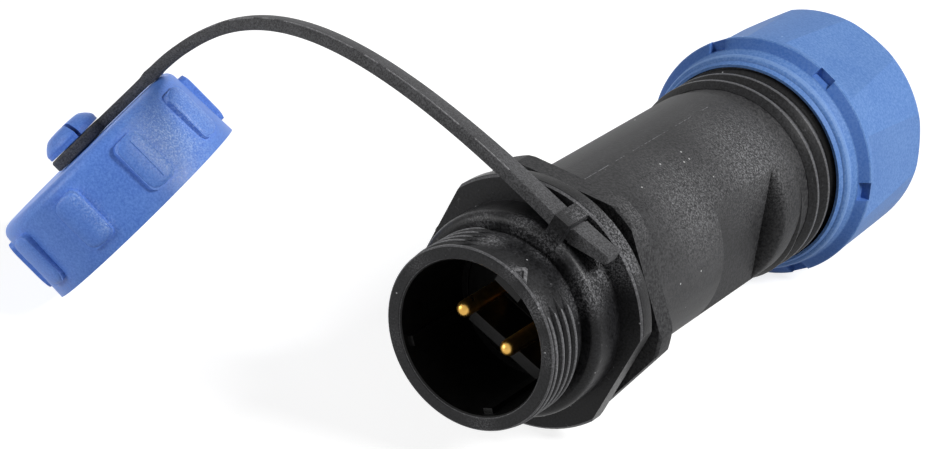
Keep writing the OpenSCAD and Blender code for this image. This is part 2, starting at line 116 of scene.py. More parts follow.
def buildStage():
    low = cadBox[0][2]
    half = stage["floorSize"] / 2
    mesh = bpy.data.meshes.new("studioFloor")
    mesh.from_pydata([(-half, -half, low), (half, -half, low), (half, half, low), (-half, half, low)],
                     [], [(0, 1, 2, 3)])
    floor = bpy.data.objects.new("studioFloor", mesh)
    scene.collection.objects.link(floor)
    card, tree = newMaterial("whiteStudioCard")
    glow = addNode(tree, "ShaderNodeMath", {"operation": "MULTIPLY"}, {0: seenRays(tree)}, i1=stage["floorGlow"])
    paper = addNode(tree, "ShaderNodeBsdfDiffuse", Color=linear(stage["floorColour"]))
    light = addNode(tree, "ShaderNodeEmission", None, {"Strength": glow.outputs[0]})
    both = addNode(tree, "ShaderNodeAddShader", None, {0: paper.outputs[0], 1: light.outputs[0]})
    addNode(tree, "ShaderNodeOutputMaterial", None, {"Surface": both.outputs[0]})
    mesh.materials.append(card)

    world = bpy.data.worlds.new("paleStudio")
    world.use_nodes = True
    scene.world = world
    tree = world.node_tree
    tree.nodes.clear()
    level = addNode(tree, "ShaderNodeMapRange", None, {"Value": seenRays(tree)}, To_Min=stage["skyLight"], To_Max=1.0)
    sky = addNode(tree, "ShaderNodeBackground", None, {"Strength": level.outputs[0]}, Color=linear(stage["skyColour"]))
    addNode(tree, "ShaderNodeOutputWorld", None, {"Surface": sky.outputs[0]})

    for name in ("key", "fill", "back"):
        lamp = bpy.data.objects.new(name + "Panel", bpy.data.lights.new(name + "Panel", "AREA"))
        lamp.data.shape = "DISK"
        lamp.data.size = stage[name]["size"]
        lamp.data.energy = stage[name]["watts"]
        at = Vector(stage[name]["at"])
        turn = (Vector(stage["aim"]) - at).to_track_quat("-Z", "Y")
        lamp.matrix_world = Matrix.Translation(at) @ turn.to_matrix().to_4x4()
        lamp.visible_glossy = name != "back"
        scene.collection.objects.link(lamp)


buildStage()
print("floor, sky and lamps set")


# how each plastic is finished: sizes in mm, colours as seen under plain light
# patches are a centre, a radius and a strength; rings are a radius, a half width, from, to and a share
finishes = {
    "grainedBlackNylon": {  # glass-filled PA66, moulded in a spark-eroded tool: grey bloom over black
        "body": "#1a1a1c", "bloom": "#484849", "bloomSize": 6.0, "grainSize": 0.30, "grainDepth": 0.04,
        "rough": 0.55, "sheen": 0.13, "speckSize": 1.0, "speckShare": 0.012, "speck": "#d0d0d0", "scuffSize": 1.6,
        "scuffShare": 0.06, "scuffAndHighlight": "#8c8c8e",
        # pale dust patches on the side of the tube that faces the key lamp, which also paint its lit middle lighter
        # than its top
        "patches": [((8.0, 14.6, 8.8), 4.5, 0.6), ((7.6, 39.0, 6.8), 10.0, 0.95), ((7.8, 26.6, 6.4), 9.0, 0.8)],
        # the second ring paints light onto the shaded end walls of the spanner flats
        "wearAndPaintedLightRings": [(10.06, 0.06, 45.1, 45.31, 0.7), (8.95, 1.08, 42.3, 42.6, 0.3)],
        "paintedShadeRings": [(8.96, 1.1, 29.5, 42.3, 0.15)], "dull": "#1c1c1e"},  # painted shade darkens the spanner flats
    "smoothBlackNylon": {  # the same nylon from a polished tool: darker, with pale handling scuffs
        "body": "#0a0a0b", "bloom": "#272729", "bloomSize": 3.0, "grainSize": 0.24, "grainDepth": 0.03,
        "rough": 0.36, "sheen": 0.17, "speckSize": 0.8, "speckShare": 0.012, "speck": "#c8c8ca", "scuffSize": 0.9,
        # the bore radius and its tone paint the shade inside the socket
        "scuffShare": 0.09, "scuffAndHighlight": "#9a9a9d", "bore": 7.72, "boreShadeTone": "#060606",
        # where edges rub; these pale rings also paint highlights on the rim's edges, the flange's front edge and the
        # thread crests
        "wearAndPaintedLightRings": [(8.3, 0.75, -0.02, 0.05, 0.03), (9.13, 0.07, 0.2, 5.6, 0.62), (8.96, 0.08, -0.01, 0.22, 0.5),
                      (7.67, 0.1, -0.01, 0.12, 0.6), (12.56, 0.13, 9.5, 9.8, 0.6), (10.58, 0.035, 45.0, 62.0, 0.5)],
        # where dust and rubbing whiten it, and painted highlights on the collar
        "patches": [((0.3, 3.2, 9.1), 2.1, 0.9), ((1.8, 6.1, 9.2), 2.6, 0.5), ((4.6, 6.1, 8.2), 2.6, 0.55),
                    ((-2.6, 6.2, 9.0), 2.6, 0.45), ((8.5, 6.2, 4.4), 3.4, 0.75), ((8.0, 9.6, 5.9), 3.0, 0.6),
                    ((10.4, 9.7, 6.0), 3.2, 0.7), ((9.0, 10.6, 8.9), 5.5, 0.75), ((6.2, 8.4, 10.6), 2.6, 0.5),
                    ((4.4, 0.6, 7.6), 1.6, 0.6), ((7.0, 0.1, 4.8), 2.4, 0.6), ((8.4, 0.1, 0.6), 2.4, 0.35),
                    ((1.5, 0.1, -8.3), 2.6, 0.35), ((-5.6, 0.1, 6.2), 2.4, 0.25), ((-8.0, 0.1, -2.0), 2.4, 0.2)]},
    "rubbedNylonEdge": {  # the same black nylon on a raised mark, rubbed pale
        "body": "#39393b", "bloom": "#868688", "bloomSize": 1.6, "grainSize": 0.5, "grainDepth": 0.03,
        "rough": 0.6, "sheen": 0.12, "speckSize": 0.8, "speckShare": 0.01, "speck": "#c8c8ca", "scuffSize": 0.9,
        "scuffShare": 0.1, "scuffAndHighlight": "#9c9c9e"},
    "strapElastomer": {  # soft moulded TPE: dull charcoal with a dry, open grain
        "body": "#3c3c3d", "bloom": "#6a6a6c", "bloomSize": 2.5, "grainSize": 0.18, "grainDepth": 0.03,
        "rough": 0.68, "sheen": 0.1, "speckSize": 0.7, "speckShare": 0.01, "speck": "#a9a9a9", "scuffSize": 0.9,
        "scuffShare": 0.05, "scuffAndHighlight": "#757577"},
    "rubbedStrapEdge": {  # the strap's parting line, dry and rubbed pale
        "body": "#6c6c6e", "bloom": "#a4a4a6", "bloomSize": 1.2, "grainSize": 0.3, "grainDepth": 0.02,
        "rough": 0.7, "sheen": 0.1, "speckSize": 0.7, "speckShare": 0.01, "speck": "#c4c4c6", "scuffSize": 0.9,
        "scuffShare": 0.1, "scuffAndHighlight": "#b0b0b2"},
    "blueNylon": {  # pigmented PA66 from the same grained tool: chalky mid blue
        "body": "#537dbf", "bloom": "#7297d0", "bloomSize": 4.5, "grainSize": 0.26, "grainDepth": 0.03,
        "rough": 0.55, "sheen": 0.18, "speckSize": 0.9, "speckShare": 0.002, "speck": "#b5cdf0", "scuffSize": 1.4,
        # the pale ring on the lip bead's crest is a painted highlight
        "scuffShare": 0.03, "scuffAndHighlight": "#8fafdf", "wearAndPaintedLightRings": [(11.76, 0.2, 52.5, 53.7, 0.6)],
        "paintedShadeRings": [(12.42, 0.46, 54.55, 56.05, 0.5)], "dull": "#2856a6"},  # painted shade in the shoulder and the notches
    "blueCapNylon": {  # the cap's batch of it: a little deeper and smoother
        "body": "#4f7bd4", "bloom": "#6a96e6", "bloomSize": 4.0, "grainSize": 0.24, "grainDepth": 0.02,
        "rough": 0.42, "sheen": 0.36, "speckSize": 0.9, "speckShare": 0.002, "speck": "#b5cdf0", "scuffSize": 1.4,
        "scuffShare": 0.03, "scuffAndHighlight": "#b6d0fb",
        # pale patches on the skirt, the largest a painted highlight on its lit side, then a rubbed side on three of the
        # lugs
        "patches": [((-43.6, 11.9, 6.9), 7.2, 1.0), ((-46.5, 5.0, -2.0), 3.0, 0.4),
                    ((-48.1, 2.4, 2.5), 1.7, 0.6), ((-46.8, 2.8, 1.2), 1.7, 0.6), ((-45.5, 3.3, -0.2), 1.7, 0.6),
                    ((-44.8, 8.3, 7.7), 1.5, 0.45), ((-43.6, 8.8, 6.3), 1.5, 0.45), ((-42.3, 9.3, 5.0), 1.5, 0.45),
                    ((-45.7, 16.2, 9.7), 1.8, 0.5), ((-44.4, 16.7, 8.4), 1.8, 0.5), ((-43.2, 17.2, 7.1), 1.8, 0.5)]},
    "blackNitrile": {  # moulded rubber seal: matte, almost without highlight
        "body": "#171718", "bloom": "#262627", "bloomSize": 2.0, "grainSize": 0.24, "grainDepth": 0.02,
        "rough": 0.75, "sheen": 0.1, "speckSize": 0.8, "speckShare": 0.006, "speck": "#7a7a7a", "scuffSize": 1.2,
        "scuffShare": 0.03, "scuffAndHighlight": "#4b4b4c"},
    "paleAcetal": {  # turned acetal washer: milky, slightly waxy
        "body": "#d0ccc0", "bloom": "#e4e1d8", "bloomSize": 3.0, "grainSize": 0.3, "grainDepth": 0.01,
        "rough": 0.4, "sheen": 0.4, "speckSize": 0.9, "speckShare": 0.004, "speck": "#9a968c", "scuffSize": 1.0,
        "scuffShare": 0.04, "scuffAndHighlight": "#c2beb2"},
}


wearAndPaintedLightKeys = {"patches", "wearAndPaintedLightRings", "paintedShadeRings", "bore"}
# the speckle that breaks up worn places and painted highlights, its noise levels, and how far in the bore the painted
# shade starts; sizes in mm
wearAndPaintedLightPattern = {"speckleSize": 0.2, "from": 0.46, "to": 0.64, "leastOnEdges": 0.45, "boreFrom": 0.12}


def ringMask(tree, radius, height, ring):
    # a band round the axis
    middle, half, low, high, share = ring
    onRing = addNode(tree, "ShaderNodeMath", {"operation": "COMPARE"}, {0: radius}, i1=middle * mm, i2=half * mm)
    inSpan = addNode(tree, "ShaderNodeMath", {"operation": "COMPARE"}, {0: height},
                     i1=(low + high) / 2 * mm, i2=(high - low) / 2 * mm)
    band = addNode(tree, "ShaderNodeMath", {"operation": "MULTIPLY"}, {0: onRing.outputs[0], 1: inSpan.outputs[0]})
    return addNode(tree, "ShaderNodeMath", {"operation": "MULTIPLY"}, {0: band.outputs[0]}, i1=share).outputs[0]


def addWearAndPaintedLight(tree, place, tone, finish):
    # pale spots and edges broken up by a fine speckle, partly wear and partly painted highlights, then bands of painted
    # shade, then painted shade in the bore
    across = addNode(tree, "ShaderNodeVectorMath", {"operation": "MULTIPLY"}, {0: place}, i1=(1, 0, 1))
    radius = addNode(tree, "ShaderNodeVectorMath", {"operation": "LENGTH"}, {0: across.outputs[0]}).outputs["Value"]
    height = addNode(tree, "ShaderNodeSeparateXYZ", None, {0: place}).outputs["Y"]
    speckle = addNode(tree, "ShaderNodeTexNoise", None, {"Vector": place},
                      Scale=1 / (wearAndPaintedLightPattern["speckleSize"] * mm), Detail=3.0, Roughness=0.8)
    broken = addNode(tree, "ShaderNodeMapRange", None, {"Value": speckle.outputs["Fac"]},
                     From_Min=wearAndPaintedLightPattern["from"], From_Max=wearAndPaintedLightPattern["to"])
    ringSpeckle = addNode(tree, "ShaderNodeMapRange", None, {"Value": broken.outputs[0]}, To_Min=wearAndPaintedLightPattern["leastOnEdges"])
    pale = []
    for centre, reach, strength in finish.get("patches", []):
        away = addNode(tree, "ShaderNodeVectorMath", {"operation": "DISTANCE"}, {0: place}, i1=[c * mm for c in centre])
        spot = addNode(tree, "ShaderNodeMapRange", {"interpolation_type": "SMOOTHSTEP"},
                       {"Value": away.outputs["Value"]}, From_Min=0.0, From_Max=reach * mm, To_Min=strength, To_Max=0.0)
        pale.append((spot.outputs[0], broken.outputs[0]))
    for ring in finish.get("wearAndPaintedLightRings", []):
        pale.append((ringMask(tree, radius, height, ring), ringSpeckle.outputs[0]))
    # mixes in the pale tone, which is wear in some places and painted light in others
    for mask, texture in pale:
        share = addNode(tree, "ShaderNodeMath", {"operation": "MULTIPLY"}, {0: mask, 1: texture})
        tone = addNode(tree, "ShaderNodeMix", {"data_type": "RGBA"}, {0: share.outputs[0], 6: tone},
                       i7=linear(finish["scuffAndHighlight"])).outputs[2]
    # painted shade: darker bands
    for ring in finish.get("paintedShadeRings", []):
        tone = addNode(tree, "ShaderNodeMix", {"data_type": "RGBA"},
                       {0: ringMask(tree, radius, height, ring), 6: tone}, i7=linear(finish["dull"])).outputs[2]
    if "bore" in finish:  # painted shade: inside the socket the colour turns near black
        inside = addNode(tree, "ShaderNodeMath", {"operation": "LESS_THAN"}, {0: radius}, i1=finish["bore"] * mm)
        deep = addNode(tree, "ShaderNodeMath", {"operation": "GREATER_THAN"}, {0: height},
                       i1=wearAndPaintedLightPattern["boreFrom"] * mm)
        inside = addNode(tree, "ShaderNodeMath", {"operation": "MULTIPLY"}, {0: inside.outputs[0], 1: deep.outputs[0]})
        tone = addNode(tree, "ShaderNodeMix", {"data_type": "RGBA"}, {0: inside.outputs[0], 6: tone},
                       i7=linear(finish["boreShadeTone"])).outputs[2]
    return tone


# what all the moulded finishes share: noise levels, the size of a speck in its cell, roughness swing, refraction
mouldedSkin = {"bloomFrom": 0.3, "bloomTo": 0.7, "bloomSwing": 0.16, "grainFrom": 0.36, "grainTo": 0.66,
               "scuffFrom": 0.74, "scuffTo": 0.8, "speckCore": 0.06, "speckEdge": 0.13, "smoother": 0.06,
               "rougher": 0.12, "bump": 0.8, "refraction": 1.53}


def makePlastic(name, finish):
    material, tree = newMaterial(name)
    place = addNode(tree, "ShaderNodeTexCoord").outputs["Object"]
    # the grain is drawn at about three picture points so that it shows
    bloom = addNode(tree, "ShaderNodeTexNoise", None, {"Vector": place},
                    Scale=1 / (finish["bloomSize"] * mm), Detail=3.0, Roughness=0.6)
    grain = addNode(tree, "ShaderNodeTexNoise", None, {"Vector": place},
                    Scale=1 / (finish["grainSize"] * mm), Detail=3.0, Roughness=0.7)
    broad = addNode(tree, "ShaderNodeMapRange", None, {"Value": bloom.outputs["Fac"]},
                    From_Min=mouldedSkin["bloomFrom"], From_Max=mouldedSkin["bloomTo"],
                    To_Min=-mouldedSkin["bloomSwing"], To_Max=mouldedSkin["bloomSwing"])
    mottle = addNode(tree, "ShaderNodeMapRange", {"clamp": False}, {"Value": grain.outputs["Fac"]},
                     From_Min=mouldedSkin["grainFrom"], From_Max=mouldedSkin["grainTo"])
    mottle = addNode(tree, "ShaderNodeMath", {"operation": "ADD", "use_clamp": True},
                     {0: mottle.outputs[0], 1: broad.outputs[0]})
    skin = addNode(tree, "ShaderNodeMix", {"data_type": "RGBA"}, {0: mottle.outputs[0]},
                   i6=linear(finish["body"]), i7=linear(finish["bloom"]))
    # scuffs: small broken patches where a warped noise peaks
    wear = addNode(tree, "ShaderNodeTexNoise", None, {"Vector": place},
                   Scale=1 / (finish["scuffSize"] * mm), Detail=4.0, Roughness=0.75, Distortion=0.6)
    wear = addNode(tree, "ShaderNodeMapRange", None, {"Value": wear.outputs["Fac"]},
                   From_Min=mouldedSkin["scuffFrom"] - finish["scuffShare"], From_Max=mouldedSkin["scuffTo"])
    wear = addNode(tree, "ShaderNodeMath", {"operation": "MULTIPLY", "use_clamp": True},
                   {0: wear.outputs[0], 1: grain.outputs["Fac"]})
    worn = addNode(tree, "ShaderNodeMix", {"data_type": "RGBA"}, {0: wear.outputs[0], 6: skin.outputs[2]},
                   i7=linear(finish["scuffAndHighlight"]))
    # dust: a few cells of a fine cell pattern carry one speck each
    cells = addNode(tree, "ShaderNodeTexVoronoi", None, {"Vector": place}, Scale=1 / (finish["speckSize"] * mm))
    near = addNode(tree, "ShaderNodeMapRange", None, {"Value": cells.outputs["Distance"]},
                   From_Min=mouldedSkin["speckCore"], From_Max=mouldedSkin["speckEdge"], To_Min=1.0, To_Max=0.0)
    # a cell's colour reads as the mean of three even numbers, which is under this level for the wanted share
    chosen = addNode(tree, "ShaderNodeMath", {"operation": "LESS_THAN"}, {0: cells.outputs["Color"]},
                     i1=(6 * finish["speckShare"]) ** (1 / 3) / 3)
    dust = addNode(tree, "ShaderNodeMath", {"operation": "MULTIPLY"}, {0: near.outputs[0], 1: chosen.outputs[0]})
    dusty = addNode(tree, "ShaderNodeMix", {"data_type": "RGBA"}, {0: dust.outputs[0], 6: worn.outputs[2]},
                    i7=linear(finish["speck"]))
    tone = addWearAndPaintedLight(tree, place, dusty.outputs[2], finish) if finish.keys() & wearAndPaintedLightKeys else dusty.outputs[2]
    rough = addNode(tree, "ShaderNodeMapRange", None, {"Value": mottle.outputs[0]},
                    To_Min=finish["rough"] - mouldedSkin["smoother"], To_Max=finish["rough"] + mouldedSkin["rougher"])
    relief = addNode(tree, "ShaderNodeBump", None, {"Height": grain.outputs["Fac"]},
                     Strength=mouldedSkin["bump"], Distance=finish["grainDepth"] * mm)
    shader = addNode(tree, "ShaderNodeBsdfPrincipled", None,
                     {"Base Color": tone, "Roughness": rough.outputs[0], "Normal": relief.outputs[0]},
                     IOR=mouldedSkin["refraction"], Specular_IOR_Level=finish["sheen"])
    addNode(tree, "ShaderNodeOutputMaterial", None, {"Surface": shader.outputs[0]})
    return material


plastic = {name: makePlastic(name, finish) for name, finish in finishes.items()}


# gold-plated brass, turned then plated: warm mirror softened by fine lathe rings; sizes in mm
# bandLength is how long one band of the wave texture is at scale 1
goldFinish = {"bright": "#e3b765", "dull": "#b98a3c", "patchSize": 1.2, "ringSize": 0.12, "ringDepth": 0.01,
              "ringShow": 0.15, "bandLength": 0.314, "rough": 0.29, "smoother": 0.06, "rougher": 0.10}


def makeGold():
    material, tree = newMaterial("goldPlatedBrass")
    place = addNode(tree, "ShaderNodeTexCoord").outputs["Object"]
    patch = addNode(tree, "ShaderNodeTexNoise", None, {"Vector": place}, Scale=1 / (goldFinish["patchSize"] * mm))
    tone = addNode(tree, "ShaderNodeMix", {"data_type": "RGBA"}, {0: patch.outputs["Fac"]},
                   i6=linear(goldFinish["bright"]), i7=linear(goldFinish["dull"]))
    rings = addNode(tree, "ShaderNodeTexWave", {"wave_type": "BANDS", "bands_direction": "Y"}, {"Vector": place},
                    Scale=goldFinish["bandLength"] / (goldFinish["ringSize"] * mm), Distortion=0.6)
    relief = addNode(tree, "ShaderNodeBump", None, {"Height": rings.outputs["Fac"]},
                     Strength=goldFinish["ringShow"], Distance=goldFinish["ringDepth"] * mm)
    rough = addNode(tree, "ShaderNodeMapRange", None, {"Value": patch.outputs["Fac"]},
                    To_Min=goldFinish["rough"] - goldFinish["smoother"],
                    To_Max=goldFinish["rough"] + goldFinish["rougher"])
    shader = addNode(tree, "ShaderNodeBsdfPrincipled", None,
                     {"Base Color": tone.outputs[2], "Roughness": rough.outputs[0], "Normal": relief.outputs[0]},
                     Metallic=1.0)
    addNode(tree, "ShaderNodeOutputMaterial", None, {"Surface": shader.outputs[0]})
    return material


gold = makeGold()
print("materials made")


# every solid but the strap keeps its shape and gets a small broken edge: finish (none is gold), edge in mm
dressed = {
    "front_shell": ("smoothBlackNylon", 0.10), "contact_insert": ("smoothBlackNylon", 0.08),
    "contact_pin_a": (None, 0.05), "contact_pin_b": (None, 0.05), "insert_ring": ("smoothBlackNylon", 0.08),
    "joint_seal": ("blackNitrile", 0.0), "back_shell": ("grainedBlackNylon", 0.14),
    "cable_seal": ("blackNitrile", 0.08), "gland_ring": ("smoothBlackNylon", 0.10),
    "slip_washer": ("paleAcetal", 0.06), "clamp_nut": ("blueNylon", 0.16), "cap": ("blueCapNylon", 0.36),
    "cap_gasket": ("blackNitrile", 0.08)}
brokenEdge = {"weld": 0.002, "angle": 24, "segments": 3}  # mm, degrees

for name, (finishName, edge) in dressed.items():
    solid = nodes[name]
    solid.data.materials.clear()
    solid.data.materials.append(plastic[finishName] if finishName else gold)
    weld = solid.modifiers.new("weld", "WELD")
    weld.merge_threshold = brokenEdge["weld"] * mm
    if edge:
        bevel = solid.modifiers.new("brokenEdge", "BEVEL")
        bevel.limit_method = "ANGLE"
        bevel.angle_limit = math.radians(brokenEdge["angle"])
        bevel.width = edge * mm
        bevel.segments = brokenEdge["segments"]
        bevel.harden_normals = True
print("solids dressed")


sharpFrom = math.radians(35)  # edges of the added pieces that bend more than this stay crisp
yAxis = Vector((0, 1, 0))


def startTree(name, sizeLabels, countLabel):
    # a tree's inputs: its sizes, a count and the finish
    tree = bpy.data.node_groups.new(name, "GeometryNodeTree")
    tree.interface.new_socket("Geometry", in_out="OUTPUT", socket_type="NodeSocketGeometry")
    kinds = {label: "NodeSocketFloat" for label in sizeLabels}
    kinds.update({countLabel: "NodeSocketInt", "Finish": "NodeSocketMaterial"})
    sockets = {label: tree.interface.new_socket(label, in_out="INPUT", socket_type=kind).identifier
               for label, kind in kinds.items()}
    return tree, sockets, addNode(tree, "NodeGroupInput").outputs


def endTree(tree, copies, given):
    solid = addNode(tree, "GeometryNodeRealizeInstances", None, {0: copies.outputs[0]})
    smooth = addNode(tree, "GeometryNodeSetShadeSmooth", None, {"Geometry": solid.outputs[0]})
    done = addNode(tree, "GeometryNodeSetMaterial", None, {"Geometry": smooth.outputs[0], "Material": given["Finish"]})
    addNode(tree, "NodeGroupOutput", None, {0: done.outputs[0]})


def bakeTree(name, tree, sockets, values, place, body, sharp=None):
    # runs a tree once and keeps what it makes as a plain mesh
    piece = bpy.data.objects.new(name, bpy.data.meshes.new(name))
    scene.collection.objects.link(piece)
    maker = piece.modifiers.new(name, "NODES")
    maker.node_group = tree
    for label, value in values.items():
        maker[sockets[label]] = value
    mesh = bpy.data.meshes.new_from_object(piece.evaluated_get(bpy.context.evaluated_depsgraph_get()))
    piece.modifiers.clear()
    piece.data = mesh
    mesh.name = name
    mesh.transform(place)
    if sharp:
        mesh.set_sharp_from_angle(angle=sharp)
    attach(piece, body)
    print(name, len(mesh.polygons), "faces")


# how every thread ridge is drawn: steps a turn, the share of its height that is sunk in the root, the rounding
# of its corners as a share of the crest and at most (mm), and its size where it has run out
ridgeForm = {"steps": 96, "sunk": 0.08, "rounding": 0.25, "mostRounding": 0.07, "least": 0.02}


# one thread ridge: a helix, cut into equal lengths one pitch apart where the thread is broken
def threadTree():
    labels = ("Root Radius", "Pitch", "Turns", "Ridge", "Foot Width", "Crest Width", "Rounding", "Run Out", "Way")
    tree, sockets, given = startTree("threadRidge", labels, "Lengths")
    rise = addNode(tree, "ShaderNodeMath", {"operation": "MULTIPLY"}, {0: given["Pitch"], 1: given["Turns"]})
    helix = addNode(tree, "GeometryNodeCurveSpiral", None,
                    {"Rotations": given["Turns"], "Start Radius": given["Root Radius"],
                     "End Radius": given["Root Radius"], "Height": rise.outputs[0]},
                    Resolution=ridgeForm["steps"], Reverse=True)
    upright = addNode(tree, "GeometryNodeSetCurveNormal", {"mode": "Z_UP"}, {0: helix.outputs[0]})
    section = addNode(tree, "GeometryNodeCurvePrimitiveQuadrilateral", {"mode": "TRAPEZOID"},
                      {"Bottom Width": given["Foot Width"], "Top Width": given["Crest Width"],
                       "Height": given["Ridge"]}, Offset=0.0)
    lift = addNode(tree, "ShaderNodeMath", {"operation": "MULTIPLY"}, {0: given["Ridge"]}, i1=0.5 - ridgeForm["sunk"])
    lift = addNode(tree, "ShaderNodeCombineXYZ", None, {"Y": lift.outputs[0]})
    section = addNode(tree, "GeometryNodeTransform", None,
                      {"Geometry": section.outputs[0], "Translation": lift.outputs[0]})
    soft = addNode(tree, "GeometryNodeFilletCurve", None,
                   {"Curve": section.outputs[0], "Radius": given["Rounding"]})
    spin = addNode(tree, "ShaderNodeCombineXYZ", None, {"Z": given["Way"]})
    soft = addNode(tree, "GeometryNodeTransform", None, {"Geometry": soft.outputs[0], "Rotation": spin.outputs[0]})
    # both ends run out to nothing over a short arc
    along = addNode(tree, "GeometryNodeSplineParameter").outputs["Factor"]
    other = addNode(tree, "ShaderNodeMath", {"operation": "SUBTRACT"}, {1: along}, i0=1.0)
    nearest = addNode(tree, "ShaderNodeMath", {"operation": "MINIMUM"}, {0: along, 1: other.outputs[0]})
    fade = addNode(tree, "ShaderNodeMapRange", {"interpolation_type": "SMOOTHSTEP"},
                   {"Value": nearest.outputs[0], "From Max": given["Run Out"]}, To_Min=ridgeForm["least"], To_Max=1.0)
    ridge = addNode(tree, "GeometryNodeCurveToMesh", None,
                    {"Curve": upright.outputs[0], "Profile Curve": soft.outputs[0], "Scale": fade.outputs[0]},
                    Fill_Caps=True)
    step = addNode(tree, "ShaderNodeCombineXYZ", None, {"Z": given["Pitch"]})
    rungs = addNode(tree, "GeometryNodeMeshLine", None, {"Count": given["Lengths"], "Offset": step.outputs[0]})
    copies = addNode(tree, "GeometryNodeInstanceOnPoints", None,
                     {"Points": rungs.outputs[0], "Instance": ridge.outputs[0]})
    endTree(tree, copies, given)
    return tree, sockets


ridgeTree, ridgeSockets = threadTree()
toAxis = Matrix.Rotation(math.radians(-90), 4, "X")  # a shape drawn round +Z lies round +Y

# lengths in mm; "from" is where the ridge's middle starts, "at" the angle there seen from the socket
threads = {
    "couplingThread": {"body": "front_body", "slot": "black_nylon", "finish": "smoothBlackNylon", "root": 8.75,
                       "ridge": 0.4, "foot": 0.75, "crest": 0.22, "pitch": 1.1, "turns": 309 / 360, "lengths": 4,
                       "from": 0.5, "at": 37, "runOut": 0.05, "outward": True},
    "spigotThread": {"body": "front_body", "slot": "black_nylon", "finish": "smoothBlackNylon", "root": 8.55,
                     "ridge": 0.4, "foot": 0.8, "crest": 0.25, "pitch": 1.5, "turns": 3.9, "lengths": 1,
                     "from": 14.75, "at": 0, "runOut": 0.02, "outward": True},
    "shellFrontThread": {"body": "back_body", "slot": "black_nylon", "finish": "grainedBlackNylon", "root": 9.05,
                         "ridge": 0.4, "foot": 0.8, "crest": 0.25, "pitch": 1.5, "turns": 4.0, "lengths": 1,
                         "from": 15.5, "at": 0, "runOut": 0.02, "outward": False},
    "shellRearThread": {"body": "back_body", "slot": "black_nylon", "finish": "smoothBlackNylon", "root": 9.85,
                        "ridge": 0.75, "foot": 1.9, "crest": 0.3, "pitch": 2.337, "turns": 6.5, "lengths": 1,
                        "from": 46.1, "at": 10, "runOut": 0.03, "outward": True},
    "nutThread": {"body": "nut_body", "slot": "blue_nylon", "finish": "blueNylon", "root": 10.7,
                  "ridge": 0.75, "foot": 1.1, "crest": 0.35, "pitch": 2.337, "turns": 3.6, "lengths": 1,
                  "from": 54.28, "at": 10, "runOut": 0.04, "outward": False},
}

def makeRidge(name, size, place):
    values = {"Root Radius": size["root"] * mm, "Pitch": size["pitch"] * mm, "Turns": size["turns"],
              "Ridge": size["ridge"] / (1 - ridgeForm["sunk"]) * mm, "Foot Width": size["foot"] * mm,
              "Crest Width": size["crest"] * mm,
              "Rounding": min(ridgeForm["rounding"] * size["crest"], ridgeForm["mostRounding"]) * mm,
              "Run Out": size["runOut"], "Way": math.radians(-90 if size["outward"] else 90),
              "Lengths": size["lengths"], "Finish": plastic[size["finish"]]}
    bakeTree(name, ridgeTree, ridgeSockets, values, place, size["body"], sharpFrom)


for name, size in threads.items():
    turn = Matrix.Rotation(math.radians(-size["at"]), 4, "Z")
    makeRidge(name, size, toAxis @ Matrix.Translation((0, 0, size["from"] * mm)) @ turn)
print("threads cut")


def newPiece(name, shape, body, finishName):
    bmesh.ops.recalc_face_normals(shape, faces=shape.faces)
    mesh = bpy.data.meshes.new(name)
    shape.to_mesh(mesh)
    shape.free()
    piece = bpy.data.objects.new(name, mesh)
    scene.collection.objects.link(piece)
    mesh.materials.append(plastic[finishName])
    mesh.polygons.foreach_set("use_smooth", [True] * len(mesh.polygons))
    mesh.set_sharp_from_angle(angle=sharpFrom)
    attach(piece, body)
    print(name, len(mesh.polygons), "faces")
    return piece


def joinRings(shape, one, two):
    count = len(one)
    for k in range(count):
        shape.faces.new((one[k], one[(k + 1) % count], two[(k + 1) % count], two[k]))


def addSweep(shape, sections):
    # sections: lists of points in order, joined into a closed tube with flat ends
    rings = [[shape.verts.new(p * mm) for p in section] for section in sections]
    for one, two in zip(rings, rings[1:]):
        joinRings(shape, one, two)
    shape.faces.new(rings[0][::-1])
    shape.faces.new(rings[-1])


def addHoop(shape, profile, around, place):
    # a closed profile of radius and height, carried all the way round the axis that place turns about
    rings = [[shape.verts.new(place(360 * i / around, r, h) * mm) for r, h in profile] for i in range(around)]
    for one, two in zip(rings, rings[1:] + rings[:1]):
        joinRings(shape, one, two)


def roundedSection(at, side, up, wide, thick, corner):
    # a flat bar's section with three points round each corner
    points = []
    for sx, sy, turn in ((1, 1, 0), (-1, 1, 90), (-1, -1, 180), (1, -1, 270)):
        for step in (0, 45, 90):
            a = math.radians(turn + step)
            points.append(at + side * (sx * (wide / 2 - corner) + corner * math.cos(a))
                          + up * (sy * (thick / 2 - corner) + corner * math.sin(a)))
    return points


def zeroToOne(x):
    return min(max(x, 0), 1)


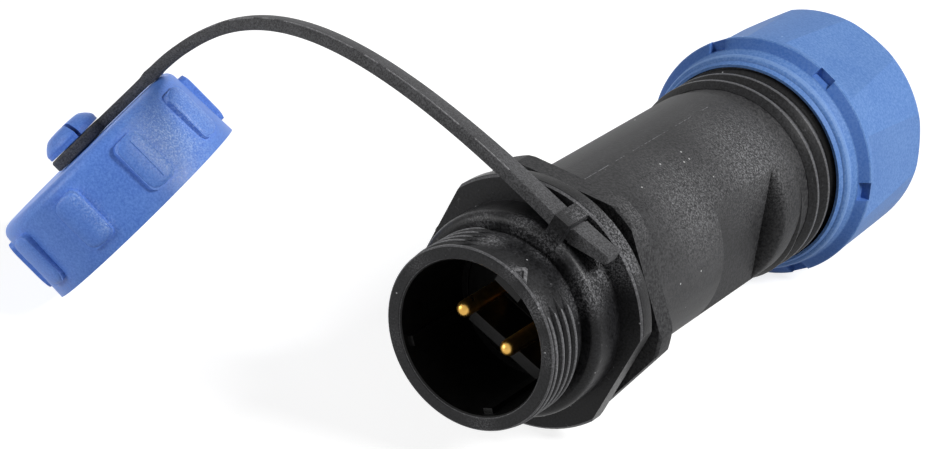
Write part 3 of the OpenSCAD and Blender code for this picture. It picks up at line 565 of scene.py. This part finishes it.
# cap strap: a moulded band from the loop on the collar to the stud on the cap's closed face, mm
strap = {"start": (5.333, 8.225, 9.621), "rise": 41.7, "fall": 18.7, "lean": 34, "tailLean": 24,
         "capFace": (-56.0, 12.7, 2.6), "capTilt": 134.8, "capYaw": 21, "inTurn": -28.4, "lift": 0.7,
         "wide": 2.5, "thick": 1.28, "plateThick": 1.16, "plateLength": 10.6, "twist": 0.52, "steps": 150,
         "corner": 0.16,
         # the tail past the loop, with its barb
         "tail": 5.3, "tailWide": 2.0, "tailThick": 1.0, "tailTaper": 0.3, "tailEnd": 0.15, "tailRoot": 0.4,
         "tailCorner": 0.14, "barbAt": 1.1, "barb": 0.2, "barbStep": 0.05,
         # away from the stud's middle: where the band lies down on the cap, thins to a plate past a nub, meets the eye
         "flatFrom": 9.0, "flatOver": 8.0, "plateEdge": 0.4, "nub": 0.16, "nubHalf": 0.5, "bandEnd": 2.2,
         "eyeRadius": 3.4, "eyeHole": 1.58, "eyeProud": 0.02, "eyeSoft": 0.15, "eyeAround": 64,
         # the parting line shows in short lengths, given in steps along the band
         "flash": 0.11, "flashIn": 0.065,
         "flashSpans": ((9, 15), (18, 33), (35, 38), (41, 60), (63, 67), (70, 79), (84, 92))}

tilt, yaw = math.radians(strap["capTilt"]), math.radians(strap["capYaw"])
capX = Vector((math.cos(tilt) * math.cos(yaw), math.cos(tilt) * math.sin(yaw), -math.sin(tilt)))
capAcross = Vector((-math.sin(yaw), math.cos(yaw), 0))
capAxis = capX.cross(capAcross)
capFace = Vector(strap["capFace"])


def capPoint(turn, radius, depth):
    a = math.radians(turn)
    return capFace + capX * (radius * math.cos(a)) + capAcross * (radius * math.sin(a)) + capAxis * depth


def axisPoint(turn, radius, y):
    a = math.radians(turn)
    return Vector((radius * math.cos(a), y, radius * math.sin(a)))


def tailSections(start):
    lean = math.radians(strap["tailLean"])
    way = Vector((-math.cos(lean), 0, math.sin(lean)))
    wide, thick = strap["wide"], strap["thick"]
    tailWide, tailThick, taper = strap["tailWide"], strap["tailThick"], strap["tailTaper"]
    stations = ((strap["tail"], tailWide - taper, tailThick - taper),
                (strap["tail"] - strap["tailEnd"], tailWide, tailThick),
                (strap["barbAt"], wide, thick + 2 * strap["barb"]),
                (strap["barbAt"] - strap["barbStep"], wide, thick), (strap["tailRoot"], wide, thick))
    return [roundedSection(start - way * along, yAxis, yAxis.cross(way), stationWide, stationThick,
                           strap["tailCorner"]) for along, stationWide, stationThick in stations]


def makeStrap():
    lean, inTurn = math.radians(strap["lean"]), math.radians(strap["inTurn"])
    start = Vector(strap["start"])
    into = capX * math.cos(inTurn) + capAcross * math.sin(inTurn)
    end = capFace - capAxis * strap["lift"]
    out = start + Vector((-math.cos(lean), 0, math.sin(lean))) * strap["rise"]
    back = end - into * strap["fall"]
    plateSide = capAxis.cross(into).normalized()
    sections, partingLine = tailSections(start), []
    for i in range(strap["steps"] + 1):
        u = i / strap["steps"]
        at = start * (1 - u) ** 3 + out * (3 * u * (1 - u) ** 2) + back * (3 * u * u * (1 - u)) + end * u ** 3
        way = ((out - start) * (1 - u) ** 2 + (back - out) * (2 * u * (1 - u)) + (end - back) * u ** 2).normalized()
        away = (at - end).length
        thick = strap["thick"]
        if u > 0.5:  # the half towards the cap
            if away < strap["bandEnd"]:
                break  # the eye takes over here
            height = -(at - capFace).dot(capAxis)
            flat = 1 - zeroToOne((away - strap["flatFrom"]) / strap["flatOver"])
            at = at - capAxis * ((strap["lift"] - height) * flat * flat * (3 - 2 * flat))
            edge = zeroToOne((strap["plateLength"] - away) / strap["plateEdge"])
            past = abs(away - strap["plateLength"] - strap["nubHalf"]) / strap["nubHalf"]
            thick = thick + (strap["plateThick"] - thick) * edge + max(0, 1 - past) * strap["nub"]
        twist = u ** strap["twist"]
        side = yAxis * (1 - twist) + plateSide * twist
        side = (side - way * side.dot(way)).normalized()
        up = side.cross(way)
        sections.append(roundedSection(at, side, up, strap["wide"], thick, strap["corner"]))
        corner = at - side * (strap["wide"] / 2 - strap["flashIn"]) + up * (thick / 2 - strap["flashIn"])
        partingLine.append(roundedSection(corner, side, up, strap["flash"], strap["flash"], strap["flash"] / 4))
    shape = bmesh.new()
    addSweep(shape, sections)
    # the eye round the stud: a ring with softened rims
    inner, outer, soft = strap["eyeHole"], strap["eyeRadius"], strap["eyeSoft"]
    half = strap["plateThick"] / 2 + strap["eyeProud"]
    profile = [(inner + soft, half), (inner, half - soft), (inner, soft - half), (inner + soft, -half),
               (outer - soft, -half), (outer, soft - half), (outer, half - soft), (outer - soft, half)]
    addHoop(shape, [(r, h - strap["lift"]) for r, h in profile], strap["eyeAround"], capPoint)
    band = newPiece("capStrapBand", shape, "front_body", "strapElastomer")
    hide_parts("cap_strap")
    shape = bmesh.new()
    for first, last in strap["flashSpans"]:
        addSweep(shape, partingLine[first:last + 1])
    newPiece("strapFlash", shape, "front_body", "rubbedStrapEdge")


makeStrap()
print("strap laid")


# the cap's own thread, seen from its mouth
capThread = {"body": "cap_body", "slot": "blue_nylon", "finish": "blueCapNylon", "root": 9.25, "ridge": 0.4,
             "foot": 0.75, "crest": 0.22, "pitch": 1.1, "turns": 4.0, "lengths": 1, "from": 3.9, "runOut": 0.03,
             "outward": False}
capFrame = Matrix([[capX[i], capAcross[i], capAxis[i], capFace[i] * mm] for i in range(3)] + [[0, 0, 0, 1]])
makeRidge("capThread", capThread, capFrame @ Matrix.Translation((0, 0, capThread["from"] * mm)))
print("cap thread cut")


# the cap's grip lugs are crowned: a long low swelling lies on each, mm
lugCrown = {"count": 9, "turn": -15, "radius": 12.56, "wide": 3.2, "rise": 0.34, "from": 1.62, "to": 7.78, "ends": 7.0,
            "along": 49, "around": 40, "endShare": 0.999}


def lugTree():
    labels = ("Radius", "Half Width", "Rise", "Start", "End", "Ends", "First Turn", "Step")
    tree, sockets, given = startTree("lugCrowns", labels, "Count")
    low = addNode(tree, "ShaderNodeCombineXYZ", None, {"X": given["Start"]})
    high = addNode(tree, "ShaderNodeCombineXYZ", None, {"X": given["End"]})
    line = addNode(tree, "GeometryNodeCurvePrimitiveLine", None, {"Start": low.outputs[0], "End": high.outputs[0]})
    line = addNode(tree, "GeometryNodeResampleCurve", None, {"Curve": line.outputs[0]}, Count=lugCrown["along"])
    line = addNode(tree, "GeometryNodeSetCurveNormal", {"mode": "Z_UP"}, {0: line.outputs[0]})
    # the section is an ellipse, and both ends close in a full curve
    ring = addNode(tree, "GeometryNodeCurvePrimitiveCircle", {"mode": "RADIUS"}, Radius=1.0,
                   Resolution=lugCrown["around"])
    flat = addNode(tree, "ShaderNodeCombineXYZ", None, {"X": given["Half Width"], "Y": given["Rise"]}, Z=1.0)
    ring = addNode(tree, "GeometryNodeTransform", None, {"Geometry": ring.outputs[0], "Scale": flat.outputs[0]})
    along = addNode(tree, "GeometryNodeSplineParameter").outputs["Factor"]
    away = addNode(tree, "ShaderNodeMath", {"operation": "MULTIPLY_ADD"}, {0: along},
                   i1=2 * lugCrown["endShare"], i2=-lugCrown["endShare"])
    away = addNode(tree, "ShaderNodeMath", {"operation": "ABSOLUTE"}, {0: away.outputs[0]})
    away = addNode(tree, "ShaderNodeMath", {"operation": "POWER"}, {0: away.outputs[0], 1: given["Ends"]})
    left = addNode(tree, "ShaderNodeMath", {"operation": "SUBTRACT"}, {1: away.outputs[0]}, i0=1.0)
    swell = addNode(tree, "ShaderNodeMath", {"operation": "SQRT"}, {0: left.outputs[0]})
    crown = addNode(tree, "GeometryNodeCurveToMesh", None,
                    {"Curve": line.outputs[0], "Profile Curve": ring.outputs[0], "Scale": swell.outputs[0]},
                    Fill_Caps=True)
    # drawn along +X, then stood up along the axis at the lugs' radius
    stand = addNode(tree, "ShaderNodeCombineXYZ", None, {"X": given["Radius"]})
    crown = addNode(tree, "GeometryNodeTransform", None,
                    {"Geometry": crown.outputs[0], "Translation": stand.outputs[0]}, Rotation=(0, math.radians(-90), 0))
    spots = addNode(tree, "GeometryNodeMeshLine", None, {"Count": given["Count"]}, Offset=(0, 0, 0))
    index = addNode(tree, "GeometryNodeInputIndex").outputs[0]
    turn = addNode(tree, "ShaderNodeMath", {"operation": "MULTIPLY_ADD"},
                   {0: index, 1: given["Step"], 2: given["First Turn"]})
    turn = addNode(tree, "ShaderNodeCombineXYZ", None, {"Z": turn.outputs[0]})
    turn = addNode(tree, "FunctionNodeEulerToRotation", None, {0: turn.outputs[0]})
    copies = addNode(tree, "GeometryNodeInstanceOnPoints", None,
                     {"Points": spots.outputs[0], "Instance": crown.outputs[0], "Rotation": turn.outputs[0]})
    endTree(tree, copies, given)
    return tree, sockets


def makeLugs():
    tree, sockets = lugTree()
    values = {"Radius": lugCrown["radius"] * mm, "Half Width": lugCrown["wide"] / 2 * mm, "Rise": lugCrown["rise"] * mm,
              "Start": lugCrown["from"] * mm, "End": lugCrown["to"] * mm, "Ends": lugCrown["ends"],
              "First Turn": math.radians(lugCrown["turn"]), "Step": 2 * math.pi / lugCrown["count"],
              "Count": lugCrown["count"], "Finish": plastic["blueCapNylon"]}
    bakeTree("lugCrowns", tree, sockets, values, capFrame, "cap_body")


makeLugs()
print("lugs crowned")


# the stud's head is rounded: a shallow dome in two halves lies over its cone, mm from the cap's closed face
studDome = {"foot": 1.4, "slit": 0.4, "slitTurn": 48, "around": 72, "merge": 0.001,
            "profile": ((0.0, 0.3), (3.2, 0.3), (3.27, 0.44), (3.24, 0.66), (3.1, 0.92), (2.75, 1.3), (2.45, 1.55),
                        (2.2, 1.71), (1.95, 1.785), (1.5, 1.845), (0.8, 1.885), (0.0, 1.895))}


def makeStudDome():
    shape = bmesh.new()
    middle = math.radians(studDome["slitTurn"])
    across = capX * -math.sin(middle) + capAcross * math.cos(middle)
    for way in (1, -1):
        half = bmesh.new()
        line = [half.verts.new(capPoint(0, r, -studDome["foot"] - h) * mm) for r, h in studDome["profile"]]
        edges = [half.edges.new(pair) for pair in zip(line, line[1:])]
        bmesh.ops.spin(half, geom=line + edges, cent=capFace * mm, axis=capAxis, angle=2 * math.pi,
                       steps=studDome["around"], use_merge=True)
        bmesh.ops.remove_doubles(half, verts=half.verts, dist=studDome["merge"] * mm)
        cut = bmesh.ops.bisect_plane(half, geom=half.verts[:] + half.edges[:] + half.faces[:],
                                     plane_co=(capFace + across * way * studDome["slit"] / 2) * mm,
                                     plane_no=across * way, clear_inner=True)["geom_cut"]
        bmesh.ops.edgeloop_fill(half, edges=[e for e in cut if isinstance(e, bmesh.types.BMEdge)])
        bmesh.ops.recalc_face_normals(half, faces=half.faces)
        halfMesh = bpy.data.meshes.new("studHalf")
        half.to_mesh(halfMesh)
        half.free()
        shape.from_mesh(halfMesh)
        bpy.data.meshes.remove(halfMesh)
    newPiece("studDome", shape, "cap_body", "blueCapNylon")


makeStudDome()
print("stud rounded")


# small raised marks left by the tools: rim bead, alignment arrow, the nut's rolled lip and parting flash, mm
marks = {"rim": {"root": 8.7, "crest": 9.02, "front": 0.02, "back": 0.42, "soft": 0.1, "around": 120},
         # corners as a turn and a distance from the rim; each bar runs a little past them
         "arrow": {"root": 8.72, "proud": 0.2, "wide": 0.4, "corner": 0.06, "steps": 8, "past": 0.03,
                   "corners": ((56.8, 1.9), (61.2, 0.35), (49.8, 0.35))},
         "tubeFlash": {"root": 10.08, "proud": 0.04, "wide": 0.09, "corner": 0.02, "turn": 83, "steps": 6,
                       "spans": ((17.0, 22.4), (23.6, 25.2), (26.8, 33.6), (35.0, 38.2), (40.5, 41.6))},
         # radius and y: down the cone of the lip, and off it
         "nutLip": {"middle": 53.35, "radius": 11.22, "half": 0.72, "height": 0.72, "sunk": 0.24, "steps": 12,
                    "around": 144, "down": (0.34, 0.94), "off": (0.94, -0.34)},
         "capFlash": {"root": 12.86, "proud": 0.12, "wide": 0.2, "corner": 0.03, "turn": -136.2, "steps": 10,
                      "spans": ((2.3, 7.1),)}}


def addFlash(shape, flash, place, up, along):
    # short straight bars of parting flash along an axis
    side = up.cross(along)
    for low, high in flash["spans"]:
        heights = [low + (high - low) * i / flash["steps"] for i in range(flash["steps"] + 1)]
        addSweep(shape, [roundedSection(place(flash["turn"], flash["root"], h), side, up, flash["wide"],
                                        2 * flash["proud"], flash["corner"]) for h in heights])


def makeMarks():
    rim = marks["rim"]
    shape = bmesh.new()
    profile = [(rim["root"], rim["front"]), (rim["crest"] - rim["soft"], rim["front"]),
               (rim["crest"], rim["front"] + rim["soft"]), (rim["crest"], rim["back"] - rim["soft"]),
               (rim["root"], rim["back"])]
    addHoop(shape, profile, rim["around"], axisPoint)
    newPiece("rimBead", shape, "front_body", "smoothBlackNylon")

    arrow = marks["arrow"]
    shape = bmesh.new()
    corners = arrow["corners"]
    for a, b in zip(corners, corners[1:] + corners[:1]):
        way = (axisPoint(b[0], arrow["root"], b[1]) - axisPoint(a[0], arrow["root"], a[1])).normalized()
        sections = []
        for i in range(arrow["steps"] + 1):
            f = -arrow["past"] + (1 + 2 * arrow["past"]) * i / arrow["steps"]
            turn, y = a[0] + (b[0] - a[0]) * f, a[1] + (b[1] - a[1]) * f
            up = axisPoint(turn, 1, 0)
            sections.append(roundedSection(axisPoint(turn, arrow["root"], y), way.cross(up).normalized(), up,
                                           arrow["wide"], 2 * arrow["proud"], arrow["corner"]))
        addSweep(shape, sections)
    newPiece("alignmentArrow", shape, "front_body", "rubbedNylonEdge")

    flash = marks["tubeFlash"]
    shape = bmesh.new()
    addFlash(shape, flash, axisPoint, axisPoint(flash["turn"], 1, 0), yAxis)
    newPiece("tubeFlash", shape, "back_body", "rubbedNylonEdge")

    # the nut's lip is rolled: a low bead lies on its cone
    lip = marks["nutLip"]
    shape = bmesh.new()
    middle, down, off = Vector((lip["radius"], lip["middle"])), Vector(lip["down"]), Vector(lip["off"])
    angles = [math.pi * i / lip["steps"] for i in range(lip["steps"] + 1)]
    profile = [middle - down * (lip["half"] * math.cos(a)) + off * (lip["height"] * math.sin(a) - lip["sunk"])
               for a in angles]
    addHoop(shape, profile, lip["around"], axisPoint)
    newPiece("nutLipBead", shape, "nut_body", "blueNylon")

    flash = marks["capFlash"]
    shape = bmesh.new()
    addFlash(shape, flash, capPoint, (capPoint(flash["turn"], 1, 0) - capFace).normalized(), capAxis)
    newPiece("capFlash", shape, "cap_body", "blueCapNylon")


makeMarks()
print("tool marks made")


# the rear end of each spanner flat rises in a rounded ramp to the tube, which it meets just under the surface, mm
flatRamp = {"flat": 7.9, "wall": 42.5, "tube": 10.1, "turn": -8.6, "long": 0.95, "under": 0.015, "sideRise": 0.045,
            "sunk": 0.3, "sections": 49, "arc": 11}


def makeRamps():
    shape = bmesh.new()
    flat, wall, sunk = flatRamp["flat"], flatRamp["wall"], flatRamp["sunk"]
    half = math.sqrt(flatRamp["tube"] ** 2 - (flat + flatRamp["sideRise"]) ** 2)
    for turn in (flatRamp["turn"], flatRamp["turn"] + 180):
        out, chord = axisPoint(turn, 1, 0), axisPoint(turn + 90, 1, 0)
        sections = []
        for i in range(flatRamp["sections"]):
            across = half * (2 * i / (flatRamp["sections"] - 1) - 1)
            rise = math.sqrt(flatRamp["tube"] ** 2 - across ** 2) - flat - flatRamp["under"]
            spots = [(wall + sunk, flat - sunk), (wall - flatRamp["long"], flat - sunk)]
            for k in range(flatRamp["arc"]):
                a = math.pi / 2 * k / (flatRamp["arc"] - 1)
                spots.append((wall - flatRamp["long"] * math.cos(a), flat + rise * math.sin(a)))
            spots.append((wall + sunk, flat + rise))
            sections.append([out * h + chord * across + yAxis * y for y, h in spots])
        addSweep(shape, sections)
    newPiece("flatRamps", shape, "back_body", "grainedBlackNylon")


makeRamps()
print("spanner flats run out")


# the notches stop short of the back of the nut's shoulder ring: a wall closes each, radius and y in mm
notchWall = {"count": 6, "turn": -5.4, "wide": 2.3,
             "section": ((11.7, 55.8), (12.9, 55.8), (12.9, 56.07), (12.13, 56.11), (12.13, 56.66), (11.7, 56.66))}


def makeNotchWalls():
    shape = bmesh.new()
    for i in range(notchWall["count"]):
        turn = notchWall["turn"] + 360 * i / notchWall["count"]
        out, side = axisPoint(turn, 1, 0), axisPoint(turn + 90, 1, 0)
        addSweep(shape, [[out * r + yAxis * y + side * (way * notchWall["wide"] / 2)
                          for r, y in notchWall["section"]] for way in (-1, 1)])
    newPiece("notchWalls", shape, "nut_body", "blueNylon")


makeNotchWalls()
print("notches closed")
